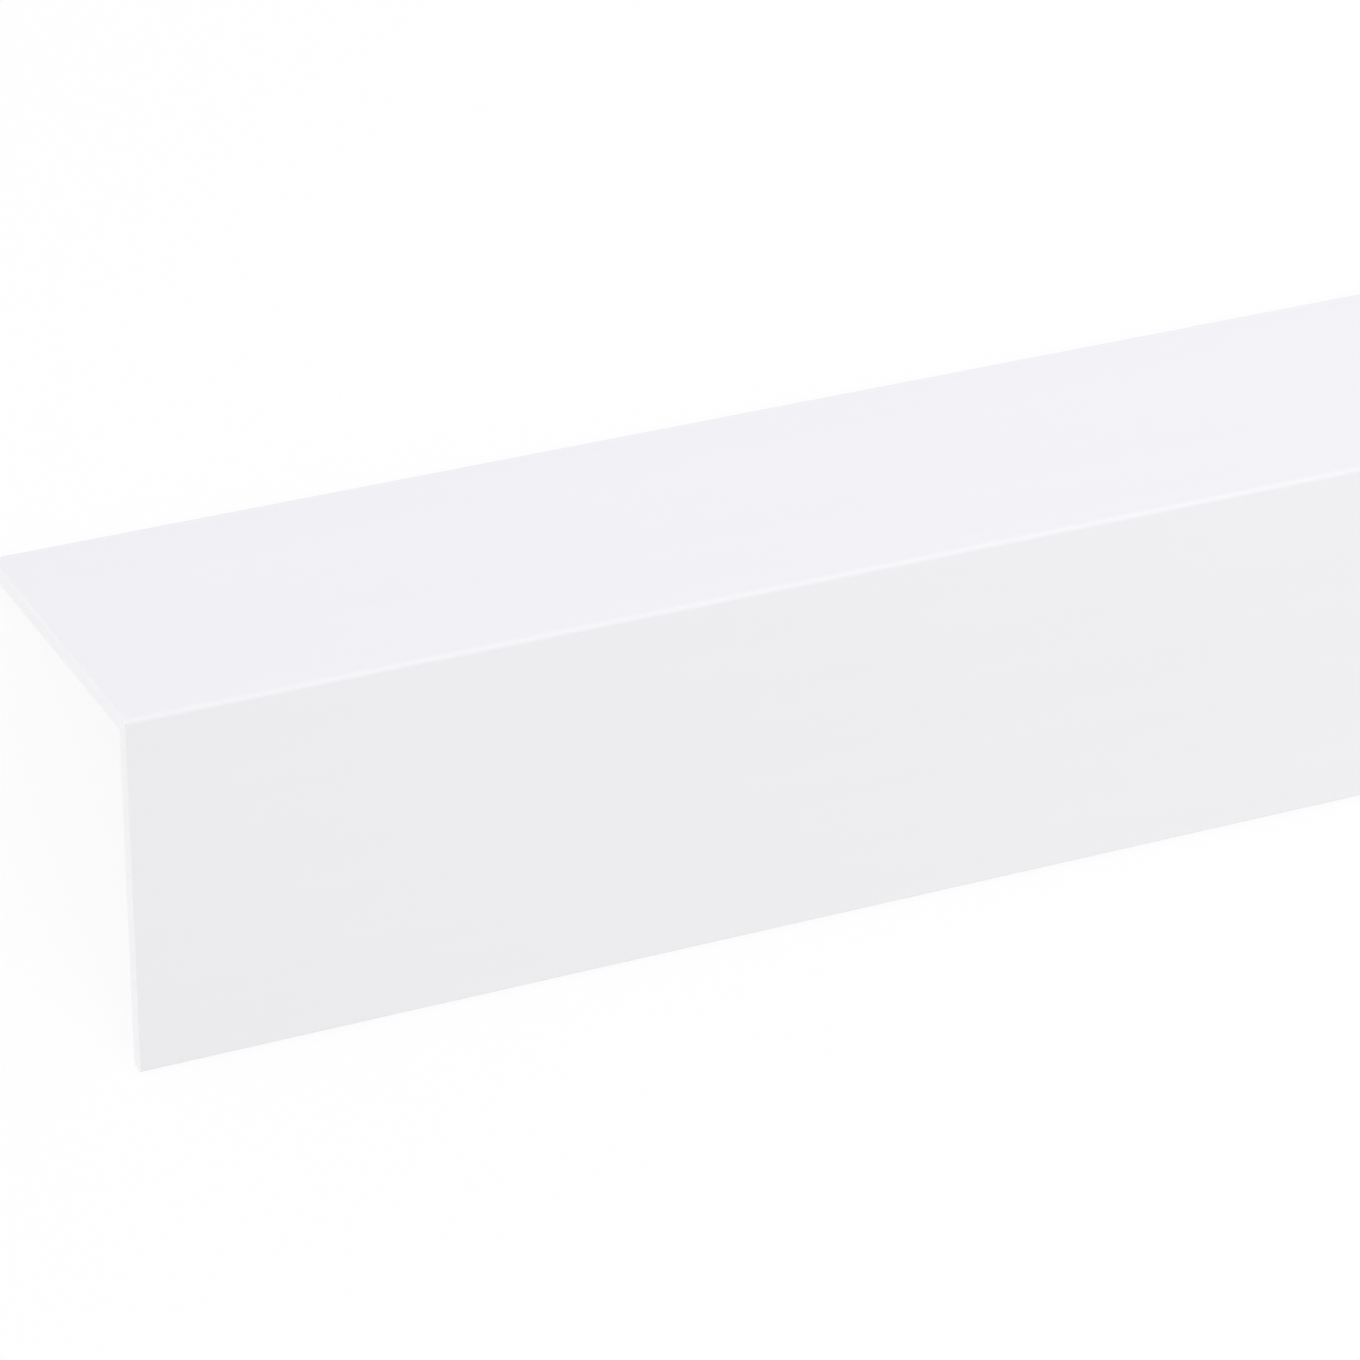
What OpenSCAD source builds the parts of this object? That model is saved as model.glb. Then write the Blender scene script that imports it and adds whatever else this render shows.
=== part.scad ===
// White PVC angle profile: an L-section extruded in one piece and sawn square at both ends.
// It lies as it comes to rest on a floor, on its two free edges, with the outside corner on top.

/* [Section] */
// Outside width of the front leg, from the corner to its free edge
front_leg = 50; // [20:1:120]
// Outside width of the back leg, from the corner to its free edge
back_leg = 50; // [20:1:120]
// Thickness of both legs
wall = 2.2; // [1.2:0.1:5]

/* [Edges] */
// Radius on the outside corner of the angle
outer_r = 0.7; // [0.2:0.1:3]
// Radius of the fillet inside the angle
inner_r = 0.2; // [0.1:0.1:3]
// Radius along both sides of each free edge
edge_r = 0.3; // [0.1:0.05:0.5]

/* [Stock] */
// Length that the profile is sawn to
length = 1000; // [100:50:3000]

/* [Hidden] */
$fn = 64;
pvc_white = "#f1f0f4";

// A free edge keeps a narrow flat between its two roundings, however thin the wall
max_edge_share = 0.45;
tip_r = min(edge_r, max_edge_share * wall);

// Slope of the front leg when the inner rounding of each free edge touches the floor
lean = atan2(back_leg - wall, front_leg - wall);

// Height of the sharp outside corner above the floor in that pose
corner_z = (front_leg - tip_r) * sin(lean) + (wall - tip_r) * cos(lean) + tip_r;

// Corners of the two free edges: place, turn of the quarter that holds the plastic
free_corners = [
    [[front_leg, 0], 90],
    [[front_leg, wall], 180],
    [[wall, back_leg], 180],
    [[0, back_leg], 270]
];

// Sliver between a square corner and the arc that rounds it
module corner_sliver(place, turn, r) {
    translate(place)
        rotate(turn)
            difference() {
                square(r);
                translate([r, r]) circle(r);
            }
}

// L-section with its sharp outside corner at the origin, the front leg along x, the back leg along y
module section() {
    difference() {
        union() {
            square([front_leg, wall]);
            square([wall, back_leg]);
            corner_sliver([wall, wall], 0, inner_r);
        }
        corner_sliver([0, 0], 0, outer_r);
        for (corner = free_corners)
            corner_sliver(corner[0], corner[1], tip_r);
    }
}

// The section, tipped over onto its free edges and run along x
module angle_profile() {
    color(pvc_white)
        rotate([90, 0, 90])
            linear_extrude(height = length, center = true)
                translate([0, corner_z])
                    rotate(180 + lean)
                        section();
}

angle_profile();
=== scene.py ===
"""White PVC angle profile, one metre long, lying on its two free edges on a white studio floor."""
import math

import bpy
from mathutils import Matrix, Vector


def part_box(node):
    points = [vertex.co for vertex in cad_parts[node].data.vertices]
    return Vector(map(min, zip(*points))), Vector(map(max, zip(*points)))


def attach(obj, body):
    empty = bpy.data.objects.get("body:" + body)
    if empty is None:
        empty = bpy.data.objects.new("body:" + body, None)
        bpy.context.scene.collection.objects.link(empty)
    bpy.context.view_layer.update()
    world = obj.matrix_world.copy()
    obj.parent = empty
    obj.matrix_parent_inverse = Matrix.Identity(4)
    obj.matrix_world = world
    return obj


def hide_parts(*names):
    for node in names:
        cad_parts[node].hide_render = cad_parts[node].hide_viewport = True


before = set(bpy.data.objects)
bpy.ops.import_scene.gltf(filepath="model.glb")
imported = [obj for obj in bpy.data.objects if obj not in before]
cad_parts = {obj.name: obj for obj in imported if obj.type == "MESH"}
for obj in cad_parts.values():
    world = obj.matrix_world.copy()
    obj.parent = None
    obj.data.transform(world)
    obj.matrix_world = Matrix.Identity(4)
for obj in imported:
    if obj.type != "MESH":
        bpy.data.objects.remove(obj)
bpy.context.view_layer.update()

# The profile: one straight length of rigid white PVC, extruded through an L-shaped die and sawn
# square at both ends. The die leaves its outside corner and its free edges slightly rounded and
# its inside corner almost sharp. It rests on the inner roundings of the two free edges.
MM = 0.001
WALL = 2.2 * MM
OUTER_RADIUS = 0.7 * MM
INNER_RADIUS = 0.2 * MM
EDGE_RADIUS = 0.3 * MM
LEAN = math.radians(45)

profile_low, profile_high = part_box("angle_profile")
leg = (profile_high.y - EDGE_RADIUS) / math.cos(LEAN) + 2 * EDGE_RADIUS
corner_z = profile_high.z + OUTER_RADIUS * (1 / math.sin(LEAN) - 1)

# Extruded skin: PVC filled with titanium dioxide and drawn over polished steel. It is an opaque,
# faintly blue white with a satin sheen. Soft streaks and die lines run along it; real die lines
# are a few hundredths of a millimetre apart, and these are coarser so that they show at all.
STREAK_COLOURS = ("#efeef2", "#f2f1f5")
STREAK_SIZE = Vector((400, 7, 7)) * MM
DIE_LINE_SIZE = Vector((150, 0.9, 0.9)) * MM
DIE_LINE_DEPTH = 0.004 * MM
SKIN_ROUGHNESS = (0.34, 0.42)
PVC_IOR = 1.53


def linear(hex_colour):
    """Turns an sRGB hex colour into linear RGBA."""
    parts = [int(hex_colour[i:i + 2], 16) / 255 for i in (1, 3, 5)]
    return [c / 12.92 if c <= 0.04045 else ((c + 0.055) / 1.055) ** 2.4 for c in parts] + [1.0]


def add_node(tree, kind, inputs=None, **settings):
    """Adds a node with its settings, and links or sets its inputs by name or number."""
    node = tree.nodes.new(kind)
    for name, value in settings.items():
        setattr(node, name, value)
    for key, value in (inputs or {}).items():
        if isinstance(value, bpy.types.NodeSocket):
            tree.links.new(value, node.inputs[key])
        else:
            node.inputs[key].default_value = value
    return node


skin = bpy.data.materials.new("extruded_white_pvc")
skin.use_nodes = True
tree = skin.node_tree
shader = tree.nodes["Principled BSDF"]
shader.inputs["IOR"].default_value = PVC_IOR
place = add_node(tree, "ShaderNodeTexCoord").outputs["Object"]
streak_place = add_node(tree, "ShaderNodeMapping", {
    "Vector": place,
    "Scale": [1 / s for s in STREAK_SIZE],
})
streaks = add_node(tree, "ShaderNodeTexNoise", {
    "Vector": streak_place.outputs[0],
    "Scale": 1.0,
    "Detail": 3.0,
})
tint = add_node(tree, "ShaderNodeMix", {
    0: streaks.outputs[0],
    6: linear(STREAK_COLOURS[0]),
    7: linear(STREAK_COLOURS[1]),
}, data_type="RGBA")
tree.links.new(tint.outputs[2], shader.inputs["Base Color"])
sheen = add_node(tree, "ShaderNodeMapRange", {
    "Value": streaks.outputs[0],
    "To Min": SKIN_ROUGHNESS[0],
    "To Max": SKIN_ROUGHNESS[1],
})
tree.links.new(sheen.outputs[0], shader.inputs["Roughness"])
die_line_place = add_node(tree, "ShaderNodeMapping", {
    "Vector": place,
    "Scale": [1 / s for s in DIE_LINE_SIZE],
})
die_lines = add_node(tree, "ShaderNodeTexNoise", {
    "Vector": die_line_place.outputs[0],
    "Scale": 1.0,
    "Detail": 2.0,
})
relief = add_node(tree, "ShaderNodeBump", {"Height": die_lines.outputs[0], "Distance": DIE_LINE_DEPTH})
tree.links.new(relief.outputs[0], shader.inputs["Normal"])

# Sawn ends: the same PVC, cut square by a fine circular blade. The cut is matt and a little whiter than the
# skin, partly as a rough cut of white PVC is and partly as painted light: its colours are made lighter so
# that the sawn ends read as brightly lit. It has shallow arcs left by the teeth, and its edges are barely
# eased.
SAWN_COLOURS_WITH_PAINTED_LIGHT = ("#f5f4f5", "#f9f8fa")
SAWN_ROUGHNESS = 0.6
BLADE_CENTRE = Vector((0, 90, 130)) * MM
TOOTH_MARK_WIDTH = 0.8 * MM
TOOTH_MARK_DEPTH = 0.012 * MM

sawn = bpy.data.materials.new("sawn_white_pvc")
sawn.use_nodes = True
tree = sawn.node_tree
shader = tree.nodes["Principled BSDF"]
shader.inputs["IOR"].default_value = PVC_IOR
shader.inputs["Roughness"].default_value = SAWN_ROUGHNESS
place = add_node(tree, "ShaderNodeTexCoord").outputs["Object"]
from_blade = add_node(tree, "ShaderNodeMapping", {
    "Vector": place,
    "Location": -BLADE_CENTRE,
    "Scale": (0, 1, 1),
})
reach = add_node(tree, "ShaderNodeVectorMath", {0: from_blade.outputs[0]}, operation="LENGTH")
tooth_marks = add_node(tree, "ShaderNodeTexNoise", {
    "W": reach.outputs["Value"],
    "Scale": 1 / TOOTH_MARK_WIDTH,
    "Detail": 2.0,
}, noise_dimensions="1D")
# The tooth marks shift the cut between its two colours, both painted lighter than bare PVC to stand in for
# light on the ends
tint = add_node(tree, "ShaderNodeMix", {
    0: tooth_marks.outputs[0],
    6: linear(SAWN_COLOURS_WITH_PAINTED_LIGHT[0]),
    7: linear(SAWN_COLOURS_WITH_PAINTED_LIGHT[1]),
}, data_type="RGBA")
tree.links.new(tint.outputs[2], shader.inputs["Base Color"])
relief = add_node(tree, "ShaderNodeBump", {
    "Height": tooth_marks.outputs[0],
    "Distance": TOOTH_MARK_DEPTH,
})
tree.links.new(relief.outputs[0], shader.inputs["Normal"])

# Mesh of the profile: the L-section is drawn with its sharp outside corner at the origin, rounded
# corner by corner, tipped by the lean and swept along the length.
ARC_STEPS = 10
RINGS = 51
SAWN_FACING = 0.5
SAW_EASE = 0.12 * MM
SAW_EASE_STEPS = 2
SAWN_EDGE_ANGLE = math.radians(60)
LARGEST_ROUND_FACET = 10 * MM ** 2

sizes = {
    "Leg": leg,
    "Wall": WALL,
    "Outer radius": OUTER_RADIUS,
    "Inner radius": INNER_RADIUS,
    "Edge radius": EDGE_RADIUS,
    "Lean": LEAN,
    "Corner height": corner_z,
    "Near end": profile_low.x,
    "Far end": profile_high.x,
}
tree = bpy.data.node_groups.new("l_section_extrusion", "GeometryNodeTree")
identifiers = {
    name: tree.interface.new_socket(name, in_out="INPUT", socket_type="NodeSocketFloat").identifier
    for name in sizes
}
tree.interface.new_socket("Profile", in_out="OUTPUT", socket_type="NodeSocketGeometry")
given = add_node(tree, "NodeGroupInput").outputs

section_corners = (
    (None, None, "Outer radius"),
    ("Leg", None, "Edge radius"),
    ("Leg", "Wall", "Edge radius"),
    ("Wall", "Wall", "Inner radius"),
    ("Wall", "Leg", "Edge radius"),
    (None, "Leg", "Edge radius"),
)
corner_number = add_node(tree, "GeometryNodeInputIndex").outputs[0]
corner_place = add_node(tree, "GeometryNodeIndexSwitch", data_type="VECTOR")
corner_radius = add_node(tree, "GeometryNodeIndexSwitch", data_type="FLOAT")
for choice in (corner_place, corner_radius):
    tree.links.new(corner_number, choice.inputs["Index"])
    while len(choice.index_switch_items) < len(section_corners):
        choice.index_switch_items.new()
for number, (across, up, radius) in enumerate(section_corners):
    point = add_node(tree, "ShaderNodeCombineXYZ")
    for axis, size in (("X", across), ("Y", up)):
        if size:
            tree.links.new(given[size], point.inputs[axis])
    tree.links.new(point.outputs[0], corner_place.inputs[number + 1])
    tree.links.new(given[radius], corner_radius.inputs[number + 1])

loop = add_node(tree, "GeometryNodeCurvePrimitiveCircle", {"Resolution": len(section_corners)})
outline = add_node(tree, "GeometryNodeSetPosition", {
    "Geometry": loop.outputs["Curve"],
    "Position": corner_place.outputs[0],
})
rounded = add_node(tree, "GeometryNodeFilletCurve", {
    "Curve": outline.outputs[0],
    "Count": ARC_STEPS,
    "Radius": corner_radius.outputs[0],
}, mode="POLY")
turn = add_node(tree, "ShaderNodeCombineXYZ", {"Z": given["Lean"]})
tipped = add_node(tree, "GeometryNodeTransform", {
    "Geometry": rounded.outputs[0],
    "Rotation": turn.outputs[0],
})

near = add_node(tree, "ShaderNodeCombineXYZ", {"X": given["Near end"], "Z": given["Corner height"]})
far = add_node(tree, "ShaderNodeCombineXYZ", {"X": given["Far end"], "Z": given["Corner height"]})
path = add_node(tree, "GeometryNodeCurvePrimitiveLine", {"Start": near.outputs[0], "End": far.outputs[0]})
stations = add_node(tree, "GeometryNodeResampleCurve", {"Curve": path.outputs[0], "Count": RINGS})
swept = add_node(tree, "GeometryNodeCurveToMesh", {
    "Curve": stations.outputs[0],
    "Profile Curve": tipped.outputs[0],
    "Fill Caps": True,
})
# The faces that look along the length are the sawn ends
facing = add_node(tree, "ShaderNodeSeparateXYZ", {0: add_node(tree, "GeometryNodeInputNormal").outputs[0]})
endways = add_node(tree, "ShaderNodeMath", {0: facing.outputs["X"]}, operation="ABSOLUTE")
is_end = add_node(tree, "FunctionNodeCompare", {
    "A": endways.outputs[0],
    "B": SAWN_FACING,
}, operation="GREATER_THAN")
whole = add_node(tree, "GeometryNodeRealizeInstances", {"Geometry": swept.outputs[0]})
skinned = add_node(tree, "GeometryNodeSetMaterial", {"Geometry": whole.outputs[0], "Material": skin})
finished = add_node(tree, "GeometryNodeSetMaterial", {
    "Geometry": skinned.outputs[0],
    "Selection": is_end.outputs[0],
    "Material": sawn,
})
add_node(tree, "NodeGroupOutput", {0: finished.outputs[0]})

profile = bpy.data.objects.new("pvc_angle_profile", bpy.data.meshes.new("pvc_angle_profile"))
bpy.context.scene.collection.objects.link(profile)
sweep = profile.modifiers.new("extrusion", "NODES")
sweep.node_group = tree
for name, size in sizes.items():
    sweep[identifiers[name]] = size
ease = profile.modifiers.new("eased_saw_cut", "BEVEL")
ease.width = SAW_EASE
ease.segments = SAW_EASE_STEPS
ease.limit_method = "ANGLE"
ease.angle_limit = SAWN_EDGE_ANGLE
depsgraph = bpy.context.evaluated_depsgraph_get()
mesh = bpy.data.meshes.new_from_object(profile.evaluated_get(depsgraph), depsgraph=depsgraph)
profile.modifiers.clear()
profile.data = mesh
# Only the narrow facets of the roundings are shaded smooth, so the flats stay flat
for face in mesh.polygons:
    face.use_smooth = face.area < LARGEST_ROUND_FACET

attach(profile, "root")
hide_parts("angle_profile")

# Floor: a wide sheet of white paper. To the eye it is nearly plain white, with a share of the lit
# paper that keeps the soft shadow of the profile.
FLOOR_SIZE = 40.0
FLOOR_COLOUR = "#f8f8f8"
PLAIN_WHITE = "#ffffff"
PLAIN_WHITE_SHARE = 0.9


def whitened_to_the_eye(tree, lit, white, share):
    """Mixes in plain white for what is seen directly, mirrored or through a clear piece."""
    ray = add_node(tree, "ShaderNodeLightPath").outputs
    seen = ray["Is Camera Ray"]
    for kind in ("Is Glossy Ray", "Is Transmission Ray"):
        seen = add_node(tree, "ShaderNodeMath", {0: seen, 1: ray[kind]}, operation="MAXIMUM").outputs[0]
    whitened = add_node(tree, "ShaderNodeMath", {0: seen, 1: share}, operation="MULTIPLY")
    return add_node(tree, "ShaderNodeMixShader", {
        0: whitened.outputs[0],
        1: lit.outputs[0],
        2: white.outputs[0],
    }).outputs[0]


paper = bpy.data.materials.new("white_paper")
paper.use_nodes = True
tree = paper.node_tree
tree.nodes.clear()
lit = add_node(tree, "ShaderNodeBsdfDiffuse", {"Color": linear(FLOOR_COLOUR)})
white = add_node(tree, "ShaderNodeEmission", {"Color": linear(PLAIN_WHITE), "Strength": 1.0})
add_node(tree, "ShaderNodeOutputMaterial", {0: whitened_to_the_eye(tree, lit, white, PLAIN_WHITE_SHARE)})

half = FLOOR_SIZE / 2
corners = [(-half, -half, 0), (half, -half, 0), (half, half, 0), (-half, half, 0)]
floor_mesh = bpy.data.meshes.new("floor")
floor_mesh.from_pydata(corners, [], [(0, 1, 2, 3)])
floor_mesh.materials.append(paper)
floor = bpy.data.objects.new("floor", floor_mesh)
bpy.context.scene.collection.objects.link(floor)

# Studio light: a room with a pale bluish back wall and a greyer front one. Daylight comes in from
# the left, onto the near sawn end, and a large softbox hangs above the profile. Seen directly, the
# room is as white as the far floor, so that no horizon shows.
BACK_WALL = "#fbfbff"
FRONT_WALL = "#bbbbb6"
LEFT_LEVEL = 1.56
RIGHT_LEVEL = 0.53
SEEN_BACKDROP = "#fcfcfc"

world = bpy.data.worlds.new("daylit_room")
bpy.context.scene.world = world
world.use_nodes = True
tree = world.node_tree
tree.nodes.clear()
direction = add_node(tree, "ShaderNodeTexCoord").outputs["Generated"]
heading = add_node(tree, "ShaderNodeSeparateXYZ", {0: direction}).outputs
level = add_node(tree, "ShaderNodeMapRange", {
    "Value": heading["X"],
    "From Min": -1.0,
    "To Min": LEFT_LEVEL,
    "To Max": RIGHT_LEVEL,
})
backness = add_node(tree, "ShaderNodeMapRange", {"Value": heading["Y"], "From Min": -1.0})
wall_colour = add_node(tree, "ShaderNodeMix", {
    0: backness.outputs[0],
    6: linear(FRONT_WALL),
    7: linear(BACK_WALL),
}, data_type="RGBA")
lit = add_node(tree, "ShaderNodeBackground", {"Color": wall_colour.outputs[2], "Strength": level.outputs[0]})
white = add_node(tree, "ShaderNodeBackground", {"Color": linear(SEEN_BACKDROP), "Strength": 1.0})
add_node(tree, "ShaderNodeOutputWorld", {0: whitened_to_the_eye(tree, lit, white, 1.0)})

SOFTBOX_PLACE = Vector((0.1, -0.2, 0.6))
SOFTBOX_AIM = Vector((0.1, 0.0, 0.02))
SOFTBOX_SIZE = (1.6, 1.0)
SOFTBOX_WATTS = 3.2

lamp = bpy.data.lights.new("softbox", "AREA")
lamp.shape = "RECTANGLE"
lamp.size, lamp.size_y = SOFTBOX_SIZE
lamp.energy = SOFTBOX_WATTS
softbox = bpy.data.objects.new("softbox", lamp)
softbox.location = SOFTBOX_PLACE
softbox.rotation_euler = (SOFTBOX_AIM - SOFTBOX_PLACE).to_track_quat("-Z", "Y").to_euler()
softbox.visible_camera = False
bpy.context.scene.collection.objects.link(softbox)

# Camera: the photograph shows the profile with its front leg upright, so the camera is placed
# against that pose and then tipped by the lean together with it.
PHOTO_YAW = math.radians(24.683)
PHOTO_PITCH = math.radians(27.141)
EYE_FROM_CORNER = Vector((-225.1, -652.6, 357.8)) * MM
LENS = 167.5
SENSOR_WIDTH = 36.0

camera = bpy.data.objects.new("camera", bpy.data.cameras.new("camera"))
camera.data.lens = LENS
camera.data.sensor_width = SENSOR_WIDTH
tip = Matrix.Rotation(-LEAN, 4, "X")
look = Matrix.Rotation(-PHOTO_YAW, 4, "Z") @ Matrix.Rotation(math.radians(90) - PHOTO_PITCH, 4, "X")
near_corner = Vector((profile_low.x, 0, corner_z))
camera.matrix_world = Matrix.Translation(near_corner) @ tip @ Matrix.Translation(EYE_FROM_CORNER) @ look
bpy.context.scene.collection.objects.link(camera)
bpy.context.scene.camera = camera

bpy.context.scene.view_settings.view_transform = "Standard"
